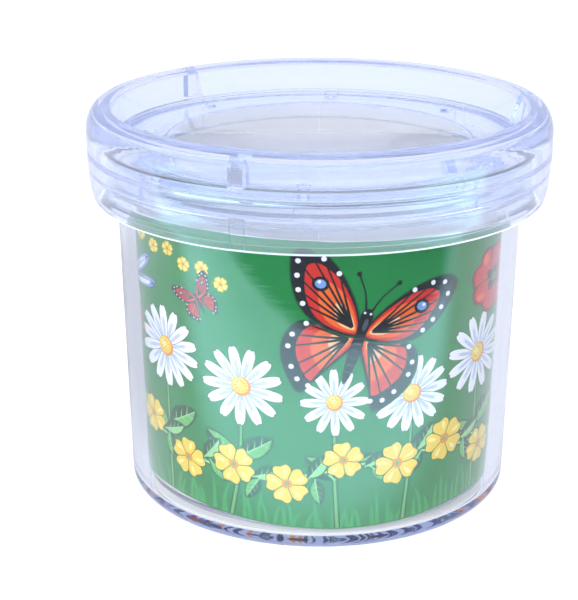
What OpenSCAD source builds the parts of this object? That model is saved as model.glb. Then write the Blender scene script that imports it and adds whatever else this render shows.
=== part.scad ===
// Bug catcher jar: a clear double-walled cup with a paper label between its walls,
// and a clear press-on lid that carries a magnifying lens and eight air vents.
// Z points up, the jar stands on z = 0, and the front of the label faces -Y.

/* [Whole jar] */
// Height from the table to the crest of the lid
total_h = 64; // [56:1:76]
// Diameter of the cup just above its bottom corner; mouth, lid and lens follow it
base_d = 63.1; // [52:0.1:76]

/* [Outer jar] */
// How far the wall leans outwards from its foot up to its neck
wall_flare = 1.15; // [0:0.05:2]
// How far the mouth ring stands out from the neck
mouth_step = 1.5; // [1.1:0.1:2]
// Thickness of the cup's wall
jar_wall = 2.5; // [1.6:0.1:2.8]
// Thickness of the cup's floor, measured from the table
floor_t = 1.7; // [1.4:0.1:4]
// Radius of the rounded bottom corner
corner_r = 1.8; // [0.6:0.1:3]
// Radius of the fillet inside, where wall and floor meet
fillet_r = 0.5; // [0.2:0.1:1]
// Radial width of the flat ring that the jar stands on
foot_w = 1.4; // [0.8:0.1:3]
// Depth of the hollow inside that ring
foot_h = 0.5; // [0.2:0.1:1]
// Thickness of the step that widens the cup into its mouth
step_t = 2.2; // [1.4:0.1:3]
// Thickness of the ring round the mouth
mouth_wall = 1; // [0.7:0.1:1.4]
// Height of the mouth's edge above the plate of the lid
mouth_rise = 0.3; // [0:0.1:0.5]
// How far the snap bead stands out from the mouth ring
jar_bead = 0.5; // [0.2:0.05:0.7]

/* [Inner cup] */
// Thickness of the liner's wall
liner_wall = 1.2; // [0.8:0.1:1.8]
// Thickness of the liner's floor
liner_floor = 1.4; // [0.8:0.1:2.4]
// Radius of the liner's bottom corner
liner_corner_r = 2.2; // [1.4:0.1:4]
// Thickness of the flange that hangs the liner in the mouth
flange_t = 1.4; // [0.8:0.1:2]

/* [Label and card] */
// Thickness of the paper sleeve
label_t = 0.3; // [0.1:0.05:0.4]
// Clear strip between the sleeve and the jar's floor
label_rise = 1.3; // [0.2:0.1:4]
// Clear strip between the sleeve and the flange of the liner above it
label_drop = 1.4; // [0.4:0.1:8]
// Width of the open seam at the back of the sleeve
seam_w = 1.2; // [0.4:0.1:6]
// Thickness of the paper disc on the floor
card_t = 0.3; // [0.1:0.05:0.6]

/* [Lid] */
// Height of the lid from its lip to its crest
lid_h = 14.7; // [13:0.1:17]
// Thickness of the skirt's upper part
skirt_t = 1.4; // [1.1:0.1:1.6]
// Thickness of the skirt at its lip
lip_t = 0.9; // [0.6:0.1:1.1]
// Radius of the lip's outer edge
lip_round = 0.3; // [0.1:0.05:0.5]
// Height of the parting step below the crest
parting_drop = 8; // [6:0.1:10]
// Depth of the parting step
parting_t = 0.15; // [0.05:0.05:0.3]
// Width of the rounding on the rim's outer edge
rim_round_w = 2.4; // [1.8:0.1:3]
// Height of that rounding
rim_round_h = 4; // [2.6:0.1:4.6]
// Width of the whole rim at its crest
rim_w = 3.9; // [3.4:0.1:4.4]
// Radius of the crest's inner edge
crest_round = 1.3; // [0.6:0.1:1.4]
// Thickness of the rim over its hollow
crest_t = 1.2; // [0.9:0.1:1.8]
// Thickness of the recess wall and of the plug ring under it
recess_wall = 1.2; // [0.8:0.1:1.5]
// Depth of the recess below the crest
recess_depth = 5.9; // [4.6:0.1:7]
// Radius of the fillet at the foot of the recess
recess_fillet = 0.6; // [0.2:0.1:1]
// Thickness of the plate that holds the lens
plate_t = 1.5; // [1.1:0.1:2.2]
// Length of the plug ring below the plate
plug_h = 2.6; // [1.6:0.1:3.4]

/* [Snap bead, grooves and ribs] */
// How far the lid's snap bead stands in from the skirt's upper part
lid_bead = 0.9; // [0.6:0.05:1.1]
// How far that bead, and each rib, stands in from the skirt's lower part
lip_relief = 0.4; // [0.2:0.05:0.6]
// Height of the lid's snap bead
bead_h = 2.8; // [2:0.1:3.2]
// Height of the grooves in the plug ring's outside
groove_h = 4; // [2:0.1:4.2]
// Width of those grooves
groove_w = 2.4; // [1:0.1:4]
// Depth of those grooves
groove_depth = 0.4; // [0.2:0.05:0.5]
// Number of ribs round the lid
rib_count = 3; // [0:1:6]
// Width of each rib
rib_w = 2.2; // [1:0.1:4]
// Gap between the lip and the ribs' lower ends
rib_rise = 0.4; // [0:0.1:2]

/* [Vents] */
// Width of the plate round the lens, from the lens seat to the recess wall
vent_plate_w = 7; // [5.6:0.1:9]
// Number of air vents, and of grooves in the plug ring
vent_count = 8; // [2:1:12]
// Diameter of each vent
vent_d = 1.8; // [1:0.1:2.4]
// Place of the vents across that plate, counted from the lens seat
vent_share = 0.6; // [0.4:0.05:0.7]

/* [Lens] */
// Height of the lens above the plate
lens_sag = 1.6; // [0.6:0.1:1.8]
// Depth of the lens below its seat
lens_belly = 2.4; // [0.6:0.1:3.4]
// Width of the lip that the lens rests on
seat_w = 0.7; // [0.5:0.1:1.4]
// Thickness of that lip
seat_t = 0.6; // [0.4:0.1:0.8]

/* [Clearances] */
// Radial gap between the lid and whatever it slides over
lid_gap = 0.3; // [0.2:0.05:0.4]
// Radial gap on each side of the paper sleeve
paper_gap = 0.1; // [0.05:0.05:0.2]
// Radial gap round the lens and round the liner's flange
seat_gap = 0.1; // [0.05:0.05:0.2]
// Gap between the mouth's top edge and the stops in the lid
stop_gap = 0.2; // [0.1:0.05:0.4]

/* [Hidden] */

$fn = 96;
arc_steps = 8;
// Turn of the first vent and of the first rib, counted from +X
vent_turn = 41;
rib_turn = 11;
// Sweep of the bow in the skirt's outside
bow_sweep = 60;
// Slope of the snap beads' flanks, as a share of how far they stand out
bead_flank_share = 0.8;
// How far cutting shapes run past what they cut
overrun = 1;

clear_blue = [0.80, 0.85, 0.97, 0.45];
clear_white = [0.90, 0.93, 0.99, 0.40];
leaf_green = [0.13, 0.56, 0.30];
paper_white = [0.95, 0.95, 0.92];

// Heights, worked out from the crest down and from the table up
lip_z = total_h - lid_h;
plate_z = total_h - recess_depth;
plate_low_z = plate_z - plate_t;
plug_z = plate_low_z - plug_h;
seat_z = plate_low_z + seat_t;
parting_z = total_h - parting_drop;
mouth_z = plate_z + mouth_rise;
stop_z = mouth_z + stop_gap;
lid_bead_top_z = mouth_z - 2 * jar_bead - stop_gap;
lid_bead_z = lid_bead_top_z - bead_h;
ledge_z = plug_z - flange_t;
shoulder_z = ledge_z - step_t;
label_z = floor_t + label_rise;
label_top_z = ledge_z - label_drop;
liner_z = floor_t + card_t;

// Radii of the cup from its foot to its mouth
base_r = base_d / 2;
neck_r = base_r + wall_flare;
mouth_r = neck_r + mouth_step;
mouth_in_r = mouth_r - mouth_wall;
jar_bead_r = mouth_r + jar_bead;
foot_r = base_r - corner_r - foot_w;
slope = wall_flare / (shoulder_z - corner_r);

// Radii of the lid, outwards over the mouth and inwards under the plate
lid_bead_r = jar_bead_r + lid_gap;
lip_in_r = lid_bead_r + lip_relief;
lip_r = lip_in_r + lip_t;
skirt_in_r = lid_bead_r + lid_bead;
rim_r = skirt_in_r + skirt_t;
crest_in_r = rim_r - rim_w;
plug_r = mouth_in_r - lid_gap;
plug_in_r = plug_r - recess_wall;
crest_low_z = total_h - crest_round;
recess_low_z = plate_z + recess_fillet;

// Radii of the lens and its seat, and of the circle that the vents stand on
seat_r = plug_in_r - vent_plate_w;
seat_hole_r = seat_r - seat_w;
lens_r = seat_r - seat_gap;
vent_r = seat_r + vent_plate_w * vent_share;

// Radii of the liner's flange and of the paper disc
flange_r = mouth_in_r - seat_gap;
card_r = cavity_r(floor_t) - fillet_r - seat_gap;

// Radius of the cup's outside at height z
function wall_r(z) = base_r + slope * (z - corner_r);

// Radius of the cup's inside at height z
function cavity_r(z) = wall_r(z) - jar_wall;

// Radii of the sleeve's and of the liner's outside at height z
function sleeve_r(z) = cavity_r(z) - paper_gap;
function liner_r(z) = sleeve_r(z) - label_t - paper_gap;

// Points along an arc of an ellipse round (r, z), from angle a to angle b
function arc(r, z, half_w, half_h, a, b) = [
    for (i = [0 : arc_steps])
        let (t = a + (b - a) * i / arc_steps)
        [r + half_w * cos(t), z + half_h * sin(t)]
];

// Angle that a width takes up at a radius
function span(w, r) = w / r * 180 / PI;

// Turns a shape to each of count places round the axis
module ring_of(count, turn) {
    for (i = [0 : 1 : count - 1]) rotate(turn + i * 360 / count) children();
}

// Revolves an outline through the angle that a width takes up, centred on +X
module wedge(w, r) {
    rotate(-span(w, r) / 2) rotate_extrude(angle = span(w, r)) children();
}

// Section of the cup: foot ring, wall, step, mouth ring with its bead, and cavity
module jar_section() {
    polygon(concat(
        [[0, foot_h], [foot_r - foot_h, foot_h], [foot_r, 0]],
        arc(base_r - corner_r, corner_r, corner_r, corner_r, -90, 0),
        arc(neck_r, shoulder_z + mouth_step, mouth_step, mouth_step, -90, 0),
        arc(mouth_r, mouth_z - jar_bead, jar_bead, jar_bead, -90, 90),
        [[mouth_in_r, mouth_z], [mouth_in_r, ledge_z], [cavity_r(ledge_z), ledge_z]],
        arc(cavity_r(floor_t) - fillet_r, floor_t + fillet_r, fillet_r, fillet_r, 0, -90),
        [[0, floor_t]]
    ));
}

// Clear cup that carries everything, with the hollow inside its foot ring
module outer_jar() {
    color(clear_blue) rotate_extrude() jar_section();
}

// Paper sleeve between the walls, open along a narrow seam at the back
module label_wrap() {
    seam = span(seam_w, neck_r);
    color(leaf_green)
        rotate(90 + seam / 2)
            rotate_extrude(angle = 360 - seam)
                polygon([
                    [sleeve_r(label_z) - label_t, label_z],
                    [sleeve_r(label_z), label_z],
                    [sleeve_r(label_top_z), label_top_z],
                    [sleeve_r(label_top_z) - label_t, label_top_z]
                ]);
}

// Printed paper disc that lies on the cup's floor under the liner
module base_card() {
    color(paper_white) translate([0, 0, floor_t]) cylinder(h = card_t, r = card_r);
}

// Section of the liner: floor, sloping wall and the flange that hangs in the mouth
module liner_section() {
    bend_r = liner_corner_r - liner_wall;
    corner_in_r = liner_r(liner_z) - liner_corner_r;
    half_wall = liner_wall / 2;
    polygon(concat(
        [[0, liner_z]],
        arc(corner_in_r, liner_z + liner_corner_r, liner_corner_r, liner_corner_r, -90, 0),
        [[liner_r(ledge_z), ledge_z], [flange_r, ledge_z], [flange_r, plug_z]],
        arc(liner_r(plug_z) - half_wall, plug_z - half_wall, half_wall, half_wall, 90, 180),
        arc(corner_in_r, liner_z + liner_floor + bend_r, bend_r, bend_r, 0, -90),
        [[0, liner_z + liner_floor]]
    ));
}

// Clear liner that holds the insects and keeps the paper dry
module inner_cup() {
    color(clear_white) rotate_extrude() liner_section();
}

// Outside of the lid with the skirt and rim still solid
module lid_outer_section() {
    bow_w = (rim_r - parting_t - lip_r) / (1 - cos(bow_sweep));
    bow_h = (parting_z - lip_z - lip_round) / sin(bow_sweep);
    polygon(concat(
        [[plug_r, lip_z]],
        arc(lip_r - lip_round, lip_z + lip_round, lip_round, lip_round, -90, 0),
        arc(rim_r - parting_t - bow_w, parting_z, bow_w, bow_h, -bow_sweep, 0),
        [[rim_r, parting_z]],
        arc(rim_r - rim_round_w, total_h - rim_round_h, rim_round_w, rim_round_h, 0, 90),
        arc(crest_in_r + crest_round, crest_low_z, crest_round, crest_round, 90, 180),
        arc(plug_in_r - recess_fillet, recess_low_z, recess_fillet, recess_fillet, 0, -90),
        [[seat_r, plate_z], [seat_r, seat_z], [seat_hole_r, seat_z], [seat_hole_r, plate_low_z]],
        [[plug_in_r, plate_low_z], [plug_in_r, plug_z], [plug_r, plug_z]]
    ));
}

// Space inside the skirt, with the snap bead left standing in it
module skirt_space() {
    hollow_w = rim_round_w - skirt_t;
    hollow_h = rim_round_h - crest_t;
    polygon(concat(
        [[0, lip_z - overrun], [lip_in_r, lip_z - overrun]],
        [[lip_in_r, lid_bead_z - lip_relief * bead_flank_share], [lid_bead_r, lid_bead_z]],
        [[lid_bead_r, lid_bead_top_z - lid_bead * bead_flank_share], [skirt_in_r, lid_bead_top_z]],
        arc(rim_r - rim_round_w, total_h - rim_round_h, hollow_w, hollow_h, 0, 90),
        [[0, total_h - crest_t]]
    ));
}

// Space outside the plug ring and the sloping wall of the recess
module plug_space() {
    polygon([
        [plug_r, lip_z - overrun],
        [plug_r, recess_low_z],
        [crest_in_r + recess_wall, crest_low_z],
        [crest_in_r + recess_wall, total_h],
        [rim_r, total_h],
        [rim_r, lip_z - overrun]
    ]);
}

// Section of the lid with its hollow rim
module lid_section() {
    difference() {
        lid_outer_section();
        intersection() {
            skirt_space();
            plug_space();
        }
    }
}

// Stop inside the hollow rim, just above the mouth, buried half way in the walls round it
module rim_stop() {
    wall_mid = recess_wall / 2;
    skirt_mid = skirt_t / 2;
    mid_w = rim_round_w - skirt_mid;
    mid_h = rim_round_h - crest_t / 2;
    wedge(rib_w, mouth_r) polygon(concat(
        [[plug_r - wall_mid, stop_z], [skirt_in_r + skirt_mid, stop_z]],
        arc(rim_r - rim_round_w, total_h - rim_round_h, mid_w, mid_h, 0, 90),
        [[crest_in_r + wall_mid, crest_low_z], [plug_r - wall_mid, recess_low_z]]
    ));
}

// Rib on the skirt's inside, between its lip and the snap bead
module skirt_rib() {
    wedge(rib_w, lip_in_r)
        translate([lid_bead_r, lip_z + rib_rise])
            square([lip_relief + lip_t / 2, lid_bead_z - lip_z - rib_rise]);
}

// Groove up the outside of the plug ring, beside a vent
module plug_groove() {
    wedge(groove_w, plug_r)
        translate([plug_r - groove_depth, plug_z - overrun])
            square([groove_depth + lid_gap, groove_h + overrun]);
}

// Air vent through the plate
module vent() {
    translate([vent_r, 0, plate_low_z - overrun])
        cylinder(h = plate_t + 2 * overrun, d = vent_d);
}

// Press-on lid in one moulding: hollow rim, recess, plate with vents, plug ring and skirt
module lid_cap() {
    color(clear_blue)
        difference() {
            union() {
                rotate_extrude() lid_section();
                ring_of(rib_count, rib_turn) rim_stop();
                ring_of(rib_count, rib_turn) skirt_rib();
            }
            ring_of(vent_count, vent_turn) plug_groove();
            ring_of(vent_count, vent_turn) vent();
        }
}

// Radius of the sphere whose cap has the given rim radius and height
function ball_r(r, h) = (r * r + h * h) / (2 * h);

// Points over a lens face, from its rim to the axis; h is negative on the lower face
function lens_face(r, z, h) =
    let (ball = ball_r(r, abs(h)), lean = asin(r / ball), up = sign(h))
    arc(0, z + h - up * ball, ball, up * ball, 90 - lean, 90);

// Magnifying lens, bowed on both faces, whose flat edge sits on the lip of its seat
module magnifier_lens() {
    upper = lens_face(lens_r, plate_z, lens_sag);
    lower = lens_face(seat_hole_r - seat_gap, seat_z, -lens_belly);
    color(clear_white)
        rotate_extrude()
            polygon(concat([[lens_r, seat_z]], upper, [for (i = [len(lower) - 1 : -1 : 0]) lower[i]]));
}

outer_jar();
label_wrap();
base_card();
inner_cup();
lid_cap();
magnifier_lens();
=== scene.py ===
import math
import random

import bmesh
import bpy
import numpy as np
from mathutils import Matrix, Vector
from mathutils.geometry import delaunay_2d_cdt


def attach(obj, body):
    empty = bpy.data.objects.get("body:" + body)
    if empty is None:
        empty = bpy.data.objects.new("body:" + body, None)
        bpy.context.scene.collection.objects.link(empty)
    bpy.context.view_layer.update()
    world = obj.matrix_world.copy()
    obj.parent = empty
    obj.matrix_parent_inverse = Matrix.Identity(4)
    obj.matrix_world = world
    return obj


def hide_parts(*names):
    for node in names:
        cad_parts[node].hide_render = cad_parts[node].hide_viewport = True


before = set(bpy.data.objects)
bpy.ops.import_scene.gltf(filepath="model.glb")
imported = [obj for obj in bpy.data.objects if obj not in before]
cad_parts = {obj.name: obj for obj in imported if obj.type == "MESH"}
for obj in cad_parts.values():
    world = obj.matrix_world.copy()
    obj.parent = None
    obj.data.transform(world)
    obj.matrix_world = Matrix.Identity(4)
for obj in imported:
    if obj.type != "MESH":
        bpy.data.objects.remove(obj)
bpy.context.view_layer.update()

# Bug catcher jar. Lengths are in millimetres up to where a mesh is made, and in metres there.
# Z points up, the jar stands on z = 0, and the front of the label faces -Y.
MM = 0.001

# Heights of the jar and its lid
TOTAL_H = 64.0
LIP_Z = 49.3
SHOULDER_Z = 50.4
LEDGE_Z = 52.6
PLUG_Z = 54.0
PARTING_Z = 56.0
PLATE_LOW_Z = 56.6
SEAT_Z = 57.2
PLATE_Z = 58.1
MOUTH_Z = 58.4
STOP_Z = 58.6
HOLLOW_LOW_Z = 58.7
HOLLOW_Z = 62.8
FLOOR_Z = 1.7
LABEL_Z = (3.0, 51.2)
# The sleeve's lower edge dips at the front: how far, over what length each way, and where along it
DIP = 2.9
DIP_REACH = 45.0
DIP_U = 4.0
# The upper edge falls a little from the left of the front to its right
TOP_FALL = 1.0
TOP_FALL_U = (-25.0, 35.0)

# Radii of the cup
BASE_R = 31.55
CORNER_R = 1.8
NECK_R = 32.7
MOUTH_R = 34.2
MOUTH_IN_R = 33.2
FOOT_R = 28.35
FOOT_H = 0.5
BEAD_OUT = 0.5
JAR_WALL = 2.5
SLOPE = (NECK_R - BASE_R) / (SHOULDER_Z - CORNER_R)
# The small ring that the mould leaves in the middle of the foot
GATE_RING_R = (1.1, 1.25, 1.9, 2.1)
GATE_RING_H = 0.22

# Radii of the lid and lens
RIM_R = 37.3
SKIRT_IN_R = 35.9
LID_BEAD_R = 35.0
LIP_IN_R = 35.4
LIP_R = 36.3
CREST_IN_R = 33.4
HOLLOW_IN_R = 34.6
PLUG_R = 32.9
PLUG_IN_R = 31.7
SEAT_R = 24.7
SEAT_HOLE_R = 24.0
LENS_R = 24.6
LENS_SAG = 1.6
LENS_BELLY = 2.4

# Small forms of the lid
PARTING_STEP = 0.15
LIP_ROUND = 0.55
LID_BEAD_H = 2.8
LID_BEAD_GAP = 0.2
BEAD_FLANK = 0.8
RECESS_LEAN = 0.25
RIB_W = 2.2
RIB_TOP_Z = 54.4
RIB_RISE = 0.4
GROOVE_H = 4.0
GROOVE_W = 2.4
GROOVE_DEPTH = 0.4
LID_GAP = 0.3
VENT_R = 28.9
VENT_D = 1.8
VENT_FLARE = 0.28
# How deep a stop or a rib sinks into the wall that carries it, and how far a cutter runs past a face
SINK_IN_PLUG = 0.6
SINK_IN_SKIRT = 0.7
SINK_IN_LIP = 0.45
OVERRUN = 0.6

# Turns of the vents and of the ribs, counted from +X as in the CAD model
VENT_COUNT = 8
VENT_TURN = 41.0
RIB_COUNT = 3
RIB_TURN = 11.0

# Air left between pieces that touch, so that no two clear faces share a plane
AIR = 0.03
# Sheets and liner
PAPER_GAP = 0.1
LABEL_T = 0.3
LABEL_R = 29.5
LABEL_HALF = math.pi * LABEL_R - 0.06
LINER_WALL = 1.2
LINER_FLOOR = 1.4
LINER_CORNER_R = 2.2
FLANGE_R = 33.1
CARD_R = 28.44
CARD_T = 0.3
CARD_SINK = 0.05
LENS_GAP = 0.1

# Columns round a turned piece, the rounding that a mould leaves on a sharp edge, and how near to the
# ends of a straight stretch a point holds its direction
TURNS = 256
EDGE = 0.12
HOLD = 0.12
SHARP_TURN = math.radians(30)
# Steps of a rounding: their length, their turn, and the finer turn of a rounding past the wide cut
STEP_LENGTH = 0.7
STEP_TURN = math.radians(15)
FINE_TURN = math.radians(9)
WIDE_CUT = 0.3
HELPERS = []


def wall_r(z):
    """Radius of the cup's outside at height z."""
    return BASE_R + SLOPE * (z - CORNER_R)


def cavity_r(z):
    return wall_r(z) - JAR_WALL


def sleeve_r(z):
    return cavity_r(z) - PAPER_GAP


def liner_r(z):
    return sleeve_r(z) - LABEL_T - PAPER_GAP


# Outlines of the turned pieces

def conic(start, corner, end, steps):
    """Points of the arc that leaves start towards corner and arrives at end from it."""
    turn = (corner - start).angle(end - corner)
    weight = math.cos(turn / 2)
    points = []
    for i in range(steps + 1):
        t = i / steps
        a, b, c = (1 - t) ** 2, 2 * t * (1 - t) * weight, t * t
        points.append((start * a + corner * b + end * c) / (a + b + c))
    return points


def rounded(before, spot, after, cut_in, cut_out):
    """The points of one corner, rounded from cut_in before it to cut_out after it."""
    start = spot + (before - spot).normalized() * cut_in
    end = spot + (after - spot).normalized() * cut_out
    turn = (spot - start).angle(end - spot)
    finest = FINE_TURN if cut_in > WIDE_CUT else STEP_TURN
    steps = max(3, round(turn / finest), round((end - start).length / STEP_LENGTH))
    return conic(start, spot, end, steps)


def without_doubles(points):
    """The points of a line, without those that lie on the one before."""
    kept = [points[0]]
    for point in points[1:]:
        if (point - kept[-1]).length > 1e-4:
            kept.append(point)
    return kept


def outline(corners, closed=False):
    """Turns corners (r, z, cut) or (r, z, cut in, cut out) into the points of a rounded outline.

    Near both ends of a straight stretch a point holds its direction, so that shading stays true."""
    spots = [Vector(c[:2]) for c in corners]
    cuts = [(c[2], c[-1]) if len(c) > 2 else (EDGE, EDGE) for c in corners]
    count = len(corners)
    if not closed:
        cuts[0] = cuts[-1] = (0, 0)
    runs = []
    for i, spot in enumerate(spots):
        if cuts[i][0] == 0:
            runs.append([spot])
        else:
            runs.append(rounded(spots[i - 1], spot, spots[(i + 1) % count], *cuts[i]))
    points = []
    for i, run in enumerate(runs):
        points += run
        if i == count - 1 and not closed:
            break
        goal = runs[(i + 1) % count][0]
        gap = goal - run[-1]
        if gap.length > 4 * HOLD:
            step = gap.normalized() * HOLD
            points += [run[-1] + step, goal - step]
    if closed:
        points.append(points[0])
    return without_doubles(points)


def cup_outline():
    """The cup, from the middle of its foot up the outside, over the mouth and down to its floor."""
    ring_in, ring_low_in, ring_low_out, ring_out = GATE_RING_R
    ring_z = FOOT_H - GATE_RING_H
    bead_r, bead_z = MOUTH_R + BEAD_OUT, MOUTH_Z - 2 * BEAD_OUT
    return outline([
        (0, FOOT_H, 0), (ring_in, FOOT_H, 0.1), (ring_low_in, ring_z, 0.1), (ring_low_out, ring_z, 0.15),
        (ring_out, FOOT_H, 0.1), (FOOT_R - FOOT_H, FOOT_H, 0.15), (FOOT_R, 0, 0.15),
        (BASE_R - 0.02, 0, CORNER_R), (wall_r(SHOULDER_Z), SHOULDER_Z, 0.25), (MOUTH_R, SHOULDER_Z, 0.15),
        (MOUTH_R, bead_z), (bead_r, bead_z, 0.37), (bead_r, MOUTH_Z, 0.45), (MOUTH_IN_R, MOUTH_Z, 0.2),
        (MOUTH_IN_R, LEDGE_Z, 0.2), (cavity_r(LEDGE_Z), LEDGE_Z, 0.2),
        (cavity_r(FLOOR_Z), FLOOR_Z, 0.5), (0, FLOOR_Z, 0),
    ])


def liner_outline():
    """The liner, from under its floor up the outside, over its flange and down the chamber's wall."""
    low = FLOOR_Z + CARD_T + AIR
    ledge = LEDGE_Z + AIR
    top = PLUG_Z - AIR
    floor = low + LINER_FLOOR
    bend = LINER_CORNER_R - LINER_WALL
    return outline([
        (0, low, 0), (liner_r(low), low, LINER_CORNER_R), (liner_r(ledge), ledge, 0.15),
        (FLANGE_R, ledge, 0.15), (FLANGE_R, top, 0.25),
        (liner_r(top) - LINER_WALL, top, 0.6), (liner_r(floor) - LINER_WALL, floor, bend), (0, floor, 0),
    ])


def lid_outline():
    """The lid's section: plate, plug ring, hollow rim, skirt with its bead and bow, crest and lens seat."""
    bow_h = (PARTING_Z - LIP_Z - LIP_ROUND) / math.sin(math.radians(60))
    bow_out = bow_h * math.tan(math.radians(30))
    bow_r, bow_z = RIM_R - PARTING_STEP, PARTING_Z - bow_out
    bow_in = math.hypot(bow_r - LIP_R, bow_z - LIP_Z - LIP_ROUND)
    bead_top = MOUTH_Z - 2 * BEAD_OUT - LID_BEAD_GAP
    bead_low = bead_top - LID_BEAD_H
    return outline([
        (SEAT_HOLE_R, PLATE_LOW_Z), (PLUG_IN_R, PLATE_LOW_Z, 0.25), (PLUG_IN_R, PLUG_Z, 0.25),
        (PLUG_R, PLUG_Z, 0.45), (PLUG_R, HOLLOW_LOW_Z, 0.5), (HOLLOW_IN_R, HOLLOW_Z, 0.3),
        (SKIRT_IN_R, HOLLOW_Z, 0.35, 0.8), (SKIRT_IN_R, bead_top, 0.2),
        (LID_BEAD_R, bead_top - (SKIRT_IN_R - LID_BEAD_R) * BEAD_FLANK, 0.25), (LID_BEAD_R, bead_low, 0.2),
        (LIP_IN_R, bead_low - (LIP_IN_R - LID_BEAD_R) * BEAD_FLANK, 0.15),
        (LIP_IN_R, LIP_Z, 0.2), (LIP_R, LIP_Z, 0.65, LIP_ROUND),
        (bow_r, bow_z, bow_in - 0.02, bow_out - 0.1), (bow_r, PARTING_Z, 0.04), (RIM_R, PARTING_Z, 0.05),
        (RIM_R, TOTAL_H, 4, 2.4), (CREST_IN_R, TOTAL_H, 0.4), (PLUG_IN_R - RECESS_LEAN, PLATE_Z, 0.8),
        (SEAT_R, PLATE_Z), (SEAT_R, SEAT_Z, 0), (SEAT_HOLE_R, SEAT_Z, 0.1),
    ], closed=True)


def bow_cut(radius, height):
    """How far a corner is cut so that its arc is the cap of a ball, that high and that wide."""
    ball = (radius * radius + height * height) / (2 * height)
    return ball * math.tan(math.asin(radius / ball) / 2)


def lens_outline():
    """The lens, curved on both sides, with the flat edge that lies in the seat."""
    low_r = SEAT_HOLE_R - LENS_GAP
    low, high = SEAT_Z - LENS_BELLY + AIR, PLATE_Z + LENS_SAG
    low_bow, high_bow = bow_cut(low_r, LENS_BELLY), bow_cut(LENS_R, LENS_SAG)
    edge = 0.02
    return outline([
        (0, low, 0), (low_bow, low, low_bow, low_bow - edge), (low_r, SEAT_Z + AIR, 0),
        (LENS_R, SEAT_Z + AIR, 0.1), (LENS_R, PLATE_Z, 0),
        (high_bow, high, high_bow - edge, high_bow), (0, high, 0),
    ])


# Geometry node trees and the shapes that feed them

def new_tree(name, inputs):
    """A node group with named inputs (name, socket type), and Geometry going out of it."""
    tree = bpy.data.node_groups.new(name, "GeometryNodeTree")
    for label, socket in inputs:
        tree.interface.new_socket(name=label, in_out="INPUT", socket_type=socket)
    tree.interface.new_socket(name="Geometry", in_out="OUTPUT", socket_type="NodeSocketGeometry")
    return tree, tree.nodes.new("NodeGroupInput"), tree.nodes.new("NodeGroupOutput")


def put(tree, kind, links=(), **settings):
    """Adds a node, with its properties and with what feeds its sockets, by number or name."""
    node = tree.nodes.new(kind)
    for name, value in settings.items():
        setattr(node, name, value)
    for socket, source in dict(links).items():
        if isinstance(source, bpy.types.NodeSocket):
            tree.links.new(source, node.inputs[socket])
        else:
            node.inputs[socket].default_value = source
    return node


def math_node(tree, operation, *values):
    return put(tree, "ShaderNodeMath", enumerate(values), operation=operation).outputs[0]


def times(tree, first, *others):
    """The product of several sockets or numbers."""
    for other in others:
        first = math_node(tree, "MULTIPLY", first, other)
    return first


def crisp_edges(tree, geometry):
    """Smooth faces, with every edge that turns by more than 30 degrees left sharp."""
    angle = put(tree, "GeometryNodeInputMeshEdgeAngle").outputs["Unsigned Angle"]
    sharp = put(tree, "FunctionNodeCompare", {0: angle, 1: SHARP_TURN}, operation="GREATER_THAN")
    faces = put(tree, "GeometryNodeSetShadeSmooth", {"Geometry": geometry, "Shade Smooth": True})
    edges = put(tree, "GeometryNodeSetShadeSmooth", {
        "Geometry": faces.outputs[0], "Selection": sharp.outputs[0], "Shade Smooth": False}, domain="EDGE")
    return edges.outputs[0]


def finish_tree(tree, given, result, geometry):
    """Ends a tree with plain geometry that carries the given material."""
    real = put(tree, "GeometryNodeRealizeInstances", {0: geometry}).outputs[0]
    done = put(tree, "GeometryNodeSetMaterial", {"Geometry": real, "Material": given.outputs["Material"]})
    tree.links.new(done.outputs[0], result.inputs[0])
    return tree


def turned_tree():
    """Revolves the points of a profile round the Z axis into one closed skin."""
    tree, given, result = new_tree("turned_piece", [
        ("Geometry", "NodeSocketGeometry"), ("Profile", "NodeSocketObject"), ("Columns", "NodeSocketInt"),
        ("Material", "NodeSocketMaterial")])
    profile = put(tree, "GeometryNodeObjectInfo", {"Object": given.outputs["Profile"]}).outputs["Geometry"]
    size = put(tree, "GeometryNodeAttributeDomainSize", {0: profile}, component="MESH").outputs[0]
    rows = math_node(tree, "ADD", given.outputs["Columns"], 1)
    grid = put(tree, "GeometryNodeMeshGrid", {"Vertices X": size, "Vertices Y": rows})
    index = put(tree, "GeometryNodeInputIndex").outputs[0]
    along = math_node(tree, "FLOOR", math_node(tree, "DIVIDE", math_node(tree, "ADD", index, 0.5), rows))
    column = math_node(tree, "SUBTRACT", index, math_node(tree, "MULTIPLY", along, rows))
    spot = put(tree, "GeometryNodeInputPosition").outputs[0]
    sample = put(tree, "GeometryNodeSampleIndex", {"Geometry": profile, "Index": along},
                 data_type="FLOAT_VECTOR", domain="POINT")
    tree.links.new(spot, sample.inputs["Value"])
    part = put(tree, "ShaderNodeSeparateXYZ", {0: sample.outputs[0]})
    share = math_node(tree, "DIVIDE", column, given.outputs["Columns"])
    angle = math_node(tree, "MULTIPLY", share, -2 * math.pi)
    x = math_node(tree, "MULTIPLY", part.outputs["X"], math_node(tree, "COSINE", angle))
    y = math_node(tree, "MULTIPLY", part.outputs["X"], math_node(tree, "SINE", angle))
    place = put(tree, "ShaderNodeCombineXYZ", {"X": x, "Y": y, "Z": part.outputs["Z"]}).outputs[0]
    moved = put(tree, "GeometryNodeSetPosition", {"Geometry": grid.outputs["Mesh"], "Position": place})
    merged = put(tree, "GeometryNodeMergeByDistance", {"Geometry": moved.outputs[0], "Distance": 0.002 * MM})
    return finish_tree(tree, given, result, crisp_edges(tree, merged.outputs[0]))


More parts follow.
